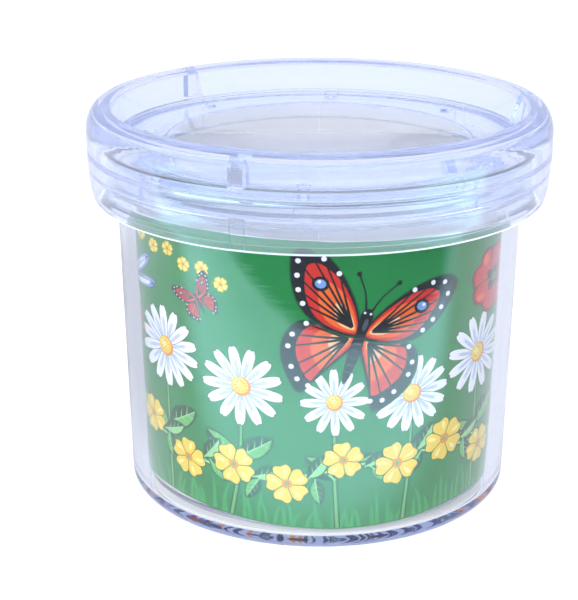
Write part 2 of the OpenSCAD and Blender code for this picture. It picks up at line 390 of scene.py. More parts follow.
def ring_tree():
    """Repeats a shape at even steps round the Z axis, from a first turn on."""
    tree, given, result = new_tree("ring_of_shapes", [
        ("Geometry", "NodeSocketGeometry"), ("Shape", "NodeSocketObject"), ("Count", "NodeSocketInt"),
        ("Turn", "NodeSocketFloat"), ("Material", "NodeSocketMaterial")])
    shape = put(tree, "GeometryNodeObjectInfo", {"Object": given.outputs["Shape"]}).outputs["Geometry"]
    points = put(tree, "GeometryNodePoints", {"Count": given.outputs["Count"]}).outputs[0]
    index = put(tree, "GeometryNodeInputIndex").outputs[0]
    step = math_node(tree, "DIVIDE", 2 * math.pi, given.outputs["Count"])
    angle = math_node(tree, "MULTIPLY_ADD", index, step, given.outputs["Turn"])
    turn = put(tree, "ShaderNodeCombineXYZ", {"Z": angle}).outputs[0]
    placed = put(tree, "GeometryNodeInstanceOnPoints", {
        "Points": points, "Instance": shape, "Rotation": turn})
    return finish_tree(tree, given, result, placed.outputs[0])


def add_tree(obj, tree, **values):
    """Puts a tree on a piece and sets its named inputs."""
    modifier = obj.modifiers.new(tree.name, "NODES")
    modifier.node_group = tree
    for item in tree.interface.items_tree:
        if item.in_out == "INPUT" and item.name in values:
            modifier[item.identifier] = values[item.name]


def new_object(name, mesh):
    obj = bpy.data.objects.new(name, mesh)
    bpy.context.scene.collection.objects.link(obj)
    return obj


def settle(obj):
    """Applies a piece's trees, and leaves it with a plain mesh."""
    graph = bpy.context.evaluated_depsgraph_get()
    mesh = bpy.data.meshes.new_from_object(obj.evaluated_get(graph), depsgraph=graph)
    obj.modifiers.clear()
    obj.data = mesh
    mesh.name = obj.name
    return obj


def helper(name, points, faces=(), edges=()):
    """A hidden shape that a tree reads, from points in millimetres."""
    mesh = bpy.data.meshes.new(name)
    mesh.from_pydata([Vector(p) * MM for p in points], edges, faces)
    obj = new_object(name, mesh)
    HELPERS.append(obj)
    return obj


def profile(name, points):
    steps = [(i, i + 1) for i in range(len(points) - 1)]
    return helper(name, [(p.x, 0, p.y) for p in points], edges=steps)


def wedge(name, section, width, radius, soften):
    """A block with a flat section (r, z), swept round the axis through a width, centred on +X."""
    half = width / radius / 2
    steps = 6
    mesh = bmesh.new()
    rings = []
    for i in range(steps + 1):
        a = -half + 2 * half * i / steps
        rings.append([mesh.verts.new((r * math.cos(a), r * math.sin(a), z)) for r, z in section])
    count = len(section)
    for low, high in zip(rings, rings[1:]):
        for i in range(count):
            j = (i + 1) % count
            mesh.faces.new((low[i], low[j], high[j], high[i]))
    mesh.faces.new(rings[0][::-1])
    mesh.faces.new(rings[-1])
    bmesh.ops.recalc_face_normals(mesh, faces=mesh.faces)
    sharp = [e for e in mesh.edges if e.calc_face_angle() > 0.6]
    bmesh.ops.bevel(mesh, geom=sharp, offset=soften, segments=3, profile=0.5, affect="EDGES")
    data = bpy.data.meshes.new(name)
    bmesh.ops.scale(mesh, vec=(MM, MM, MM), verts=mesh.verts)
    mesh.to_mesh(data)
    mesh.free()
    obj = new_object(name, data)
    HELPERS.append(obj)
    return obj


def rim_stop():
    """A stop in the hollow rim. It ends just above the jar's mouth, and its top follows the crest."""
    inner, outer = PLUG_R - SINK_IN_PLUG, SKIRT_IN_R + SINK_IN_SKIRT
    crest = [(outer, TOTAL_H - 4), (SKIRT_IN_R + 0.4, TOTAL_H - 2), (HOLLOW_IN_R + 0.3, TOTAL_H - 0.6),
             (CREST_IN_R + SINK_IN_PLUG, TOTAL_H - 1.3)]
    return wedge("rim_stop", [(inner, STOP_Z), (outer, STOP_Z), *crest, (inner, HOLLOW_LOW_Z)],
                 RIB_W, MOUTH_R, 0.2)


def skirt_rib():
    """A rib inside the skirt, under a stop, from just above the lip to the bead."""
    inner, outer = LID_BEAD_R, LIP_IN_R + SINK_IN_LIP
    low = LIP_Z + RIB_RISE
    return wedge("skirt_rib", [(inner, low), (outer, low), (outer, RIB_TOP_Z), (inner, RIB_TOP_Z)],
                 RIB_W, LIP_IN_R, 0.14)


def plug_groove():
    """The cutter for a groove in the outside of the plug ring."""
    inner, outer = PLUG_R - GROOVE_DEPTH, PLUG_R + LID_GAP
    low, top = PLUG_Z - 1, PLUG_Z + GROOVE_H
    return wedge("plug_groove", [(inner, low), (outer, low), (outer, top), (inner, top)],
                 GROOVE_W, PLUG_R, 0.16)


def vent_pin():
    """The pin that leaves an air vent, flared a little where it breaks through the plate."""
    r = VENT_D / 2
    flare = [(VENT_FLARE + OVERRUN, -OVERRUN), (VENT_FLARE, 0), (0.04, 0.1), (0, 0.25)]
    levels = [(r + out, PLATE_LOW_Z + up) for out, up in flare]
    levels += [(r + out, PLATE_Z - up) for out, up in flare[::-1]]
    sides = 48
    points, faces = [], []
    for radius, z in levels:
        for i in range(sides):
            a = 2 * math.pi * i / sides
            points.append((VENT_R + radius * math.cos(a), radius * math.sin(a), z))
    for k in range(len(levels) - 1):
        for i in range(sides):
            j = (i + 1) % sides
            faces.append((k * sides + i, k * sides + j, (k + 1) * sides + j, (k + 1) * sides + i))
    faces.append(tuple(range(sides))[::-1])
    faces.append(tuple(range(len(points) - sides, len(points))))
    return helper("vent_pin", points, faces)


def turned(name, points, material):
    """One closed piece, revolved from its outline."""
    obj = new_object(name, bpy.data.meshes.new(name))
    add_tree(obj, TURNED, Profile=profile(name + "_outline", points), Columns=TURNS, Material=material)
    return obj


def make_lid(material):
    """The lid with its stops and ribs joined on, and its plug grooves and vents cut out."""
    obj = turned("lid_clear", lid_outline(), material)
    for shape, count, turn, way in (
            (rim_stop(), RIB_COUNT, RIB_TURN, "UNION"), (skirt_rib(), RIB_COUNT, RIB_TURN, "UNION"),
            (plug_groove(), VENT_COUNT, VENT_TURN, "DIFFERENCE"),
            (vent_pin(), VENT_COUNT, VENT_TURN, "DIFFERENCE")):
        ring = helper(shape.name + "_ring", [])
        add_tree(ring, RING, Shape=shape, Count=count, Turn=math.radians(turn), Material=material)
        merge = obj.modifiers.new(ring.name, "BOOLEAN")
        merge.operation = way
        merge.solver = "MANIFOLD"
        merge.object = ring
    return obj


# The printed artwork, drawn flat: u runs along the paper and v up it, both in millimetres

INKS = {
    "ground": (20, 128, 60), "meadow": (44, 156, 78), "pine": (10, 78, 42), "leaf": (96, 178, 92),
    "mint": (148, 208, 140), "white": (240, 243, 250), "shade": (188, 200, 232), "yellow": (238, 208, 62),
    "straw": (250, 232, 150), "amber": (226, 142, 34), "orange": (236, 104, 38), "red": (208, 42, 30),
    "wine": (138, 18, 26), "black": (22, 20, 26), "slate": (74, 80, 96), "sky": (120, 160, 220),
    "blue": (44, 70, 168), "navy": (24, 34, 88), "peach": (248, 196, 150), "paper": (238, 238, 232),
}


def linear(rgb):
    """Colour for a shader from the 0 to 255 values of a print."""
    parts = [c / 255 for c in rgb]
    return tuple(c / 12.92 if c <= 0.04045 else ((c + 0.055) / 1.055) ** 2.4 for c in parts) + (1.0,)


def smooth(points, steps=4, closed=True):
    """A rounded line through given points."""
    count = len(points)
    spots = [Vector(p) for p in points]
    out = []
    for i in range(count if closed else count - 1):
        if closed:
            a, b, c, d = (spots[(i + k) % count] for k in (-1, 0, 1, 2))
        else:
            a, b, c, d = (spots[min(max(i + k, 0), count - 1)] for k in (-1, 0, 1, 2))
        for j in range(steps):
            t = j / steps
            out.append(0.5 * ((2 * b) + (c - a) * t + (2 * a - 5 * b + 4 * c - d) * t ** 2
                              + (3 * b - a - 3 * c + d) * t ** 3))
    if not closed:
        out.append(spots[-1])
    return [tuple(p) for p in out]


def stroke(points, widths, steps=4):
    """The outline of a brush stroke along a smooth line, with its width given at even steps."""
    line = [Vector(p) for p in smooth(points, steps, closed=False)]
    left, right = [], []
    for i, spot in enumerate(line):
        along = line[min(i + 1, len(line) - 1)] - line[max(i - 1, 0)]
        side = Vector((-along.y, along.x)).normalized()
        t = i / (len(line) - 1) * (len(widths) - 1)
        k = min(int(t), len(widths) - 2)
        half = (widths[k] + (widths[k + 1] - widths[k]) * (t - k)) / 2
        left.append(spot + side * half)
        right.append(spot - side * half)
    return [tuple(p) for p in left + right[::-1]]


def disc(u, v, w, h=None, sides=14):
    h = w if h is None else h
    return [(u + w * math.cos(2 * math.pi * i / sides), v + h * math.sin(2 * math.pi * i / sides))
            for i in range(sides)]


def grown(points, share, to=None):
    """A shape scaled about its middle, or about a given point."""
    middle = Vector(to) if to else sum((Vector(p) for p in points), Vector((0, 0))) / len(points)
    return [tuple(middle + (Vector(p) - middle) * share) for p in points]


def as_drawn(points):
    return points


def mirrored(points):
    return [(-u, v) for u, v in points]


BOTH_SIDES = (as_drawn, mirrored)


def turned_points(points, degrees):
    c, s = math.cos(math.radians(degrees)), math.sin(math.radians(degrees))
    return [(x * c - y * s, x * s + y * c) for x, y in points]


class Artwork:
    """Shapes in the order that they are printed, each with its ink."""

    def __init__(self):
        self.shapes = []

    def add(self, motif, u=0.0, v=0.0, size=1.0, turn=0.0, squeeze=1.0):
        """Places a motif, a list of (ink, points), with its size, turn in degrees and squeeze across."""
        c, s = math.cos(math.radians(turn)), math.sin(math.radians(turn))
        for ink, points in motif:
            placed = []
            for x, y in points:
                x, y = x * size * squeeze, y * size
                placed.append((u + x * c - y * s, v + x * s + y * c))
            self.shapes.append((ink, placed))


# Motifs, each drawn about one unit large

def daisy(petals=13):
    """An open flower with long white petals, one unit from its middle to their tips."""
    petal = smooth([(0.0, 0.12), (0.07, 0.2), (0.13, 0.55), (0.12, 0.86), (0.05, 1.0), (0.0, 0.96),
                    (-0.06, 0.99), (-0.12, 0.84), (-0.12, 0.5), (-0.06, 0.2)], 2)
    streak = smooth([(0.0, 0.2), (0.045, 0.3), (0.03, 0.74), (0.0, 0.62), (-0.035, 0.72), (-0.04, 0.3)], 2)
    motif = []
    for k in [*range(0, petals, 2), *range(1, petals, 2)]:
        turn = 360 * k / petals
        motif += [("pine", turned_points(grown(petal, 1.09), turn)), ("white", turned_points(petal, turn)),
                  ("shade", turned_points(streak, turn))]
    motif += [("amber", disc(0, 0, 0.25)), ("yellow", disc(-0.02, 0.03, 0.21)),
              ("straw", disc(-0.06, 0.08, 0.09, sides=8))]
    for k in range(9):
        a = 2 * math.pi * k / 9
        motif.append(("amber", disc(0.13 * math.cos(a), 0.13 * math.sin(a), 0.022, sides=6)))
    return motif


def buttercup(petals=5):
    """A cupped yellow flower, one unit from its middle to its petals' tips."""
    petal = smooth([(0.0, 0.05), (0.22, 0.3), (0.42, 0.66), (0.3, 0.95), (0.0, 0.9), (-0.3, 0.95),
                    (-0.42, 0.66), (-0.22, 0.3)], 2)
    shine = smooth([(0.06, 0.4), (0.24, 0.66), (0.14, 0.84), (0.05, 0.7)], 2)
    motif = []
    for k in range(petals):
        turn = 360 * k / petals
        motif += [("pine", turned_points(grown(petal, 1.1), turn)), ("yellow", turned_points(petal, turn)),
                  ("straw", turned_points(shine, turn))]
    return motif + [("amber", disc(0, 0, 0.24, sides=12)), ("leaf", disc(0, 0, 0.11, sides=8))]


def leaf(dark="pine", light="leaf"):
    """A pointed leaf, one unit long from its stalk at the origin, lit on one half."""
    edge = smooth([(0, 0), (0.16, 0.16), (0.26, 0.42), (0.2, 0.74), (0.0, 1.0), (-0.2, 0.74),
                   (-0.26, 0.42), (-0.16, 0.16)], 2)
    half = smooth([(0.01, 0.06), (0.14, 0.2), (0.22, 0.43), (0.16, 0.72), (0.01, 0.93)], 2, closed=False)
    motif = [(dark, edge), (light, half)]
    motif.append(("mint", stroke([(0, 0.0), (0.01, 0.5), (0, 0.95)], [0.05, 0.03, 0.01], 2)))
    for v in (0.25, 0.45, 0.65):
        for reach in (0.15, -0.15):
            motif.append(("mint", stroke([(0.0, v), (reach, v + 0.14)], [0.025, 0.01], 1)))
    return motif


def butterfly(outer="red", inner="orange", glow="peach"):
    """A butterfly seen from above, one unit from its body to the tip of a wing."""
    fore = smooth([(0.03, 0.1), (0.2, 0.42), (0.5, 0.74), (0.84, 0.9), (1.02, 0.82), (0.98, 0.56),
                   (0.86, 0.3), (0.66, 0.1), (0.36, 0.0), (0.06, 0.0)], 3)
    hind = smooth([(0.05, 0.04), (0.36, 0.06), (0.68, 0.0), (0.8, -0.2), (0.78, -0.46), (0.62, -0.7),
                   (0.44, -0.84), (0.34, -0.66), (0.2, -0.4), (0.06, -0.16)], 3)
    body = smooth([(0, 0.36), (0.075, 0.28), (0.06, 0.05), (0.07, -0.2), (0.04, -0.5), (0, -0.6),
                   (-0.04, -0.5), (-0.07, -0.2), (-0.06, 0.05), (-0.075, 0.28)], 3)
    feeler = stroke([(0.02, 0.28), (0.1, 0.52), (0.24, 0.72)], [0.03, 0.018, 0.02], 3)
    motif = []
    for side in BOTH_SIDES:
        for wing, spots, root in ((hind, 6, (0.12, -0.04)), (fore, 7, (0.12, 0.1))):
            motif += [("pine", side(grown(wing, 1.05))), ("black", side(wing))]
            for ink, share in ((outer, 0.78), (inner, 0.56), (glow, 0.3)):
                motif.append((ink, side(grown(wing, share, root))))
            for k in range(spots):
                reach = Vector(wing[int(len(wing) * (0.22 + 0.5 * k / spots))]) - Vector(root)
                spot = Vector(root) + reach * 0.9
                vein = Vector(root) + reach * 0.84
                motif += [("white", side(disc(spot.x, spot.y, 0.032, sides=8))),
                          ("black", side(stroke([root, tuple(vein)], [0.035, 0.018], 1)))]
        motif += [("black", side(disc(0.62, 0.5, 0.1, 0.09))),
                  ("sky", side(disc(0.62, 0.5, 0.065, 0.055, 10))),
                  ("white", side(disc(0.64, 0.52, 0.022, sides=6))), ("black", side(feeler)),
                  ("black", side(disc(0.245, 0.73, 0.032, sides=8)))]
    motif.append(("black", body))
    for k in range(5):
        v = -0.08 - 0.09 * k
        motif.append(("slate", stroke([(-0.045, v), (0.045, v)], [0.022, 0.022], 1)))
    return motif + [("slate", disc(0.015, 0.16, 0.03, 0.08, 8)), ("white", disc(0.035, 0.3, 0.016, sides=6)),
                    ("white", disc(-0.035, 0.3, 0.016, sides=6))]


def dragonfly(body="orange", tail="wine", wing="sky"):
    """A dragonfly seen from above, one unit from its body to a wing tip."""
    fore = [(0.05, 0.12), (0.4, 0.26), (0.85, 0.34), (1.0, 0.26), (0.8, 0.12), (0.4, 0.04)]
    hind = [(0.05, 0.02), (0.4, 0.0), (0.82, -0.12), (0.94, -0.24), (0.72, -0.3), (0.3, -0.16)]
    root = Vector((0.06, 0.06))
    motif = []
    for side in BOTH_SIDES:
        for points in (fore, hind):
            edge = smooth(points, 3)
            for ink, share in (("black", 1.07), (wing, 1), ("white", 0.62)):
                motif.append((ink, side(grown(edge, share))))
            tip = Vector(points[3])
            for share in (0.35, 0.65, 0.92):
                vein = root.lerp(Vector(points[1]).lerp(tip, share), 0.98)
                motif.append(("black", side(stroke([tuple(root), tuple(vein)], [0.014, 0.01], 1))))
            motif.append(("black", side(disc(tip.x - 0.09, tip.y - 0.005, 0.045, 0.022, sides=8))))
    for ink, top, tip, widths in (("black", 0.2, -1.12, [0.2, 0.13, 0.1, 0.08]),
                                  (body, 0.16, -1.08, [0.13, 0.08, 0.055, 0.04])):
        motif.append((ink, stroke([(0, top), (0, -0.2), (0.03, -0.7), (0, tip)], widths, 4)))
    for k in range(7):
        motif.append((tail, disc(0.012 + 0.004 * k, -0.2 - 0.12 * k, 0.032, 0.022, sides=8)))
    motif.append(("black", disc(0, 0.26, 0.13, 0.1)))
    for x in (-0.07, 0.07):
        motif += [("red", disc(x, 0.28, 0.055, sides=10)), ("white", disc(x + 0.015, 0.3, 0.015, sides=6))]
    return motif


def bee():
    """A bumblebee in flight, about one unit long, heading along -u."""
    motif = []
    for x, y, turn in ((0.02, 0.26, 25), (0.2, 0.24, -15)):
        wing = [(u + x, v + y - 0.06) for u, v in turned_points(disc(0, 0.2, 0.13, 0.24), turn)]
        motif += [("black", grown(wing, 1.12)), ("shade", wing), ("white", grown(wing, 0.6))]
    for x in (-0.15, 0.0, 0.15):
        leg = [(x, -0.2), (x - 0.03, -0.36), (x + 0.03, -0.42)]
        motif.append(("black", stroke(leg, [0.035, 0.025, 0.02], 2)))
    motif += [("black", disc(0.04, 0, 0.44, 0.29, 22)), ("yellow", disc(0.04, 0, 0.4, 0.25, 22))]
    for x in (-0.1, 0.1, 0.28):
        half = 0.25 * math.sqrt(1 - ((x - 0.04) / 0.4) ** 2)
        motif.append(("black", stroke([(x, -half), (x + 0.03, 0), (x, half)], [0.07, 0.085, 0.07], 3)))
    feeler = stroke([(-0.42, 0.14), (-0.5, 0.28), (-0.6, 0.3)], [0.03, 0.02, 0.02], 2)
    return motif + [("black", disc(-0.38, 0.02, 0.16, 0.15)), ("white", disc(-0.43, 0.06, 0.045, sides=8)),
                    ("black", disc(-0.44, 0.06, 0.022, sides=6)), ("black", feeler),
                    ("straw", disc(0.0, 0.14, 0.12, 0.035, 10))]


def caterpillar(rings=8):
    """A caterpillar humped along a line, one unit long."""
    motif = []
    spots = [(k / (rings - 1), 0.09 * math.sin(k * 1.15)) for k in range(rings)]
    for x, y in spots:
        motif.append(("black", stroke([(x, y - 0.06), (x, y - 0.17)], [0.035, 0.02], 1)))
    for k, (x, y) in enumerate(reversed(spots)):
        motif += [("black", disc(x, y, 0.105)), ("mint" if k % 2 else "yellow", disc(x, y, 0.088)),
                  ("red", disc(x, y - 0.01, 0.026, sides=8))]
    motif += [("black", disc(-0.02, 0.02, 0.125)), ("orange", disc(-0.02, 0.02, 0.105))]
    for x in (-0.06, 0.02):
        motif += [("white", disc(x, 0.05, 0.034, sides=8)), ("black", disc(x - 0.008, 0.05, 0.016, sides=6)),
                  ("black", stroke([(x, 0.11), (x - 0.02, 0.22)], [0.02, 0.014], 1)),
                  ("black", disc(x - 0.02, 0.225, 0.022, sides=6))]
    return motif


def beetle(shell="blue", glow="sky"):
    """A long-legged shiny beetle seen from above, one unit from its middle to its tail."""
    motif = []
    for side in BOTH_SIDES:
        for y, reach, drop in ((0.38, 0.42, 0.25), (0.05, 0.55, -0.02), (-0.3, 0.5, -0.4)):
            leg = [(0.2, y), (0.2 + reach * 0.6, y + drop * 0.3 + 0.1), (0.3 + reach, y + drop)]
            motif.append(("black", side(stroke(leg, [0.07, 0.05, 0.03], 3))))
        motif.append(("black", side(stroke([(0.06, 0.9), (0.2, 1.12), (0.42, 1.2)], [0.04, 0.03, 0.02], 3))))
    body = smooth([(0, 0.5), (0.32, 0.4), (0.44, 0.0), (0.36, -0.5), (0, -0.86), (-0.36, -0.5),
                   (-0.44, 0.0), (-0.32, 0.4)], 3)
    shine = smooth([(-0.28, 0.28), (-0.18, 0.34), (-0.2, -0.1), (-0.3, -0.3), (-0.35, 0.0)], 3)
    glint = smooth([(-0.26, 0.2), (-0.21, 0.24), (-0.23, 0.02), (-0.28, -0.02)], 2)
    neck = smooth([(-0.3, 0.5), (-0.22, 0.74), (0, 0.82), (0.22, 0.74), (0.3, 0.5), (0, 0.42)], 3)
    plate = smooth([(-0.22, 0.54), (-0.16, 0.7), (0, 0.76), (0.16, 0.7), (0.22, 0.54), (0, 0.48)], 3)
    motif += [("black", grown(body, 1.07)), (shell, body), (glow, shine), ("white", glint),
              ("black", stroke([(0, 0.5), (0, -0.84)], [0.035, 0.035], 1)), ("black", neck), (shell, plate),
              ("black", disc(0, 0.86, 0.15, 0.12, 12))]
    for x in (-0.08, 0.08):
        motif.append(("white", disc(x, 0.9, 0.028, sides=6)))
    return motif


def poppy():
    """An open red flower with a dark middle, one unit from its middle to its petals' tips."""
    petal = smooth([(0.0, 0.04), (0.3, 0.22), (0.62, 0.56), (0.6, 0.86), (0.3, 1.0), (0.08, 0.9),
                    (-0.14, 1.02), (-0.46, 0.94), (-0.64, 0.6), (-0.34, 0.24)], 3)
    fold = smooth([(0.1, 0.6), (0.34, 0.66), (0.42, 0.84), (0.2, 0.86)], 3)
    base = smooth([(0, 0.06), (0.16, 0.24), (0.0, 0.44), (-0.16, 0.24)], 3)
    motif = []
    for turn in (45, 225, 135, 315):
        for ink, shape in (("pine", grown(petal, 1.06)), ("wine", petal),
                           ("red", grown(petal, 0.9, (0, 0.15))), ("orange", fold), ("black", base)):
            motif.append((ink, turned_points(shape, turn)))
    for k in range(14):
        a = 2 * math.pi * k / 14
        motif.append(("black", disc(0.3 * math.cos(a), 0.3 * math.sin(a), 0.035, sides=6)))
    motif += [("black", disc(0, 0, 0.19)), ("leaf", disc(0, 0, 0.13, sides=10))]
    for k in range(4):
        a = math.radians(45 * k)
        reach = (0.11 * math.cos(a), 0.11 * math.sin(a))
        motif.append(("pine", stroke([(-reach[0], -reach[1]), reach], [0.025, 0.025], 1)))
    return motif


# The sleeve's picture: a meadow with insects that runs all round the jar

# Each daisy's place along the sleeve, its height and its size
DAISIES = ((-84, 27, 5.6), (-70, 31, 6.6), (-55, 25, 5.4), (-41, 30, 6.4), (-25.5, 28.6, 7.0),
           (-11.5, 25.8, 6.6), (2.5, 24.6, 5.6), (14.5, 24.8, 6.4), (27.6, 28.0, 7.0), (41, 25.5, 5.8),
           (53, 31, 6.6), (79, 27, 6.2))
# Places of the small yellow flowers at the upper left of the front
BLOSSOMS = ((-31, 46.4), (-27.6, 45.2), (-24.2, 45.6), (-21, 43.8), (-17.6, 43.9), (-14.4, 42.0))
BLADES = 150
VINE_V = 12.6
VINE_FLOWERS = 22
VINE_STEP = 8.45


def vine_v(u):
    return VINE_V + 1.9 * math.sin(u / 8.3)


def add_grass(art, dice):
    for k in range(BLADES):
        u = -LABEL_HALF + 2 * LABEL_HALF * (k + dice.random()) / BLADES
        height, lean = dice.uniform(2.2, 6.2), dice.uniform(-1.6, 1.6)
        blade = [(u, 3.0), (u + lean * 0.3, 3.0 + height * 0.6), (u + lean, 3.0 + height)]
        art.add([("meadow", stroke(blade, [0.7, 0.5, 0.06], 2))])


def add_daisies(art, dice):
    for u, v, size in DAISIES:
        bend = dice.uniform(-2.0, 2.0)
        line = [(u + bend, 3.2), (u + bend * 0.2, v * 0.5), (u, v)]
        art.add([("pine", stroke(line, [1.0, 0.9, 0.7], 5)), ("leaf", stroke(line, [0.5, 0.42, 0.3], 5))])
        for side in (-1, 1):
            length, turn = dice.uniform(6, 8), side * dice.uniform(-70, -40)
            art.add(leaf(), u + bend * 0.3, v * 0.5 + side * 0.8, length, turn)
    for u, v, size in DAISIES:
        art.add(daisy(dice.choice((12, 13, 14))), u, v, size, dice.uniform(0, 30), dice.uniform(0.9, 1.0))


def add_vine(art, dice):
    vine = [(u, vine_v(u)) for u in range(-90, 91, 5)]
    art.add([("pine", stroke(vine, [1.0, 1.0], 3)), ("mint", stroke(vine, [0.45, 0.45], 3))])
    for k in range(VINE_FLOWERS):
        u = -89 + VINE_STEP * k
        v = vine_v(u)
        art.add(leaf("pine", "mint"), u + 3.2, v, 5.2, -35 - 30 * (k % 2))
        art.add(leaf("pine", "leaf"), u + 4.2, v, 4.6, 150 + 40 * (k % 3))
        art.add(buttercup(), u, v + (1.4 if k % 2 else -1.2), dice.uniform(3.1, 3.8), dice.uniform(0, 70))
    for u, v in BLOSSOMS:
        art.add(buttercup(), u, v, 1.25, dice.uniform(0, 70))


def label_artwork():
    """The whole picture: plants first, then insects and poppies (motif, u, v, size, turn, squeeze)."""
    art = Artwork()
    dice = random.Random(7)
    add_grass(art, dice)
    add_daisies(art, dice)
    add_vine(art, dice)
    for motif in (
            (dragonfly(), -35.5, 37.5, 8.6, 24, 0.95),
            (butterfly("red", "red", "orange"), -18.5, 38.6, 3.9, 34),
            (butterfly(), 6.0, 35.2, 13.2, -17, 0.97),
            (poppy(), 31.0, 40.2, 5.6, 10),
            (bee(), 44.5, 38.5, 6.4, 14),
            (poppy(), 62.0, 22.5, 4.6, 30),
            (butterfly("blue", "sky", "white"), 68.0, 36.5, 11.6, 14),
            (caterpillar(), -52.5, 37.5, 11.5, 8),
            (beetle(), -62.5, 21.5, 4.2, 40),
            (bee(), -66.5, 42.0, 6.0, -12),
            (dragonfly("red", "black"), -81.5, 39.0, 7.6, -30),
            (poppy(), -86.0, 20.5, 3.8, 0),
            (beetle("wine", "orange"), 86.0, 40.0, 4.2, -30)):
        art.add(*motif)
    return art.shapes


# The card's two prints

GRID_R = 25.6
SCALE_R = 26.0
NUMBERS = {"1": (10, [[(0.1, 0.7), (0.32, 1.0), (0.32, 0.0)]]),
           "2": (20, [[(0.02, 0.74), (0.14, 0.98), (0.46, 0.98), (0.58, 0.7), (0.3, 0.36), (0.02, 0.02)],
                      [(0.02, 0.03), (0.6, 0.03)]])}


def on_ring(radius, degrees):
    a = math.radians(degrees)
    return radius * math.cos(a), radius * math.sin(a)


def card_scale(art):
    """A 5 mm grid, rings 10 and 20 mm from the middle and one at the edge, ticks and two cross lines."""
    for place in (*range(-25, 0, 5), *range(5, 26, 5)):
        reach = math.sqrt(GRID_R ** 2 - place ** 2)
        art.add([("sky", stroke([(place, -reach), (place, reach)], [0.12, 0.12], 1)),
                 ("sky", stroke([(-reach, place), (reach, place)], [0.12, 0.12], 1))])
    for radius in (10, 20, SCALE_R + 0.1):
        for turn in range(0, 360, 15):
            arc = [on_ring(radius, turn + 5 * j) for j in range(4)]
            art.add([("blue", stroke(arc, [0.34, 0.34], 2))])
    for k in range(72):
        low = SCALE_R - (1.7 if k % 6 == 0 else 0.9)
        tick = [(low, -0.13), (SCALE_R, -0.13), (SCALE_R, 0.13), (low, 0.13)]
        art.add([("blue", tick)], turn=5 * k)
    for turn in (0, 90):
        art.add([("black", stroke([(-25.8, 0), (25.8, 0)], [0.22, 0.22], 1))], turn=turn)


def card_artwork():
    """The upper side: a measuring scale with plain numbers, and small insects."""
    art = Artwork()
    card_scale(art)
    for k, turn in enumerate(range(22, 382, 30)):
        motif = beetle("blue", "sky") if k % 3 else beetle("orange", "peach")
        art.add(motif, *on_ring(22.9, turn), 1.75, turn - 90)
    for motif, turn, size in ((butterfly("blue", "sky", "white"), 45, 3.3), (butterfly(), 135, 3.3),
                              (dragonfly("blue", "black"), 225, 3.6), (bee(), 315, 4.6)):
        art.add(motif, *on_ring(14.4, turn), size, turn - 90)
    for radius, lines in NUMBERS.values():
        for turn in (0, 90, 180, 270):
            for line in lines:
                digit = [(x * 1.5 + radius + 0.4, y * 1.9 + 0.35) for x, y in line]
                art.add([("black", stroke(digit, [0.34, 0.34], 2))], turn=turn)
    return art.shapes


def card_back():
    """The card's underside: a border of dark insects in grass, which the clear floor's edge shows."""
    art = Artwork()
    dice = random.Random(3)
    motifs = (beetle("navy", "sky"), beetle("black", "slate"), butterfly("navy", "sky", "white"),
              beetle("wine", "orange"), dragonfly("navy", "black"))
    blades = 130
    for k in range(blades):
        turn = 360 * (k + dice.uniform(-0.4, 0.4)) / blades
        low, high = dice.uniform(17.5, 21.0), dice.uniform(25.5, 28.0)
        lean = dice.uniform(-1.4, 1.4)
        line = [(low, 0), ((low + high) / 2, lean * 0.6), (high, lean)]
        blade = stroke(line, [0.1, dice.uniform(0.5, 1.1), 0.3], 2)
        ink = dice.choice(("navy", "navy", "navy", "black", "black", "blue", "amber"))
        art.add([(ink, blade)], turn=turn)
    for radius, count, size in ((23.2, 26, 1.9), (15.5, 16, 2.4), (9.5, 10, 2.6)):
        for k in range(count):
            turn = 360 * (k + dice.uniform(-0.25, 0.25)) / count
            motif = dice.choice(motifs)
            art.add(motif, *on_ring(radius, turn), size * dice.uniform(0.8, 1.1), dice.uniform(0, 360))
    return art.shapes


# Meshes that carry the artwork

def covered(spots, shape):
    """Which of the spots lie inside a shape, by counting the sides that a line from each crosses."""
    start = np.array(shape)
    end = np.roll(start, -1, axis=0)
    x, y = spots[:, :1], spots[:, 1:]
    crosses = (start[:, 1] > y) != (end[:, 1] > y)
    rise = np.where(end[:, 1] == start[:, 1], 1.0, end[:, 1] - start[:, 1])
    reach = start[:, 0] + (end[:, 0] - start[:, 0]) * (y - start[:, 1]) / rise
    return (crosses & (x < reach)).sum(axis=1) % 2 == 1


def inked(border, shapes, ground, lines=()):
    """Splits a flat sheet along its shapes, and returns its points, faces and the ink of each face."""
    low, high = np.min(border, axis=0) + 0.2, np.max(border, axis=0) - 0.2
    points = [tuple(p) for p in border]
    edges = [(i, (i + 1) % len(border)) for i in range(len(border))]
    for a, b in lines:
        edges.append((len(points), len(points) + 1))
        points += [a, b]
    rings = []
    for ink, shape in shapes:
        ring = np.clip(shape, low, high)
        ring = ring[np.abs(ring - np.roll(ring, 1, axis=0)).sum(axis=1) > 0.004]
        if len(ring) < 3:
            continue
        rings.append((ink, ring))
        first, count = len(points), len(ring)
        edges += [(first + i, first + (i + 1) % count) for i in range(count)]
        points += [tuple(p) for p in ring]
    spots, _, cells, *_ = delaunay_2d_cdt([Vector(p) for p in points], edges, [], 0, 1e-4, False)
    places = np.array([tuple(p) for p in spots])
    middles = places[np.array(cells)].mean(axis=1)
    order = np.argsort(middles[:, 0])
    across = middles[order, 0]
    inks = np.full(len(cells), ground, dtype=object)
    for ink, ring in rings:
        first, last = np.searchsorted(across, (ring[:, 0].min(), ring[:, 0].max()))
        near = order[first:last]
        near = near[(middles[near, 1] > ring[:, 1].min()) & (middles[near, 1] < ring[:, 1].max())]
        inks[near[covered(middles[near], ring)]] = ink
    return spots, cells, list(inks)


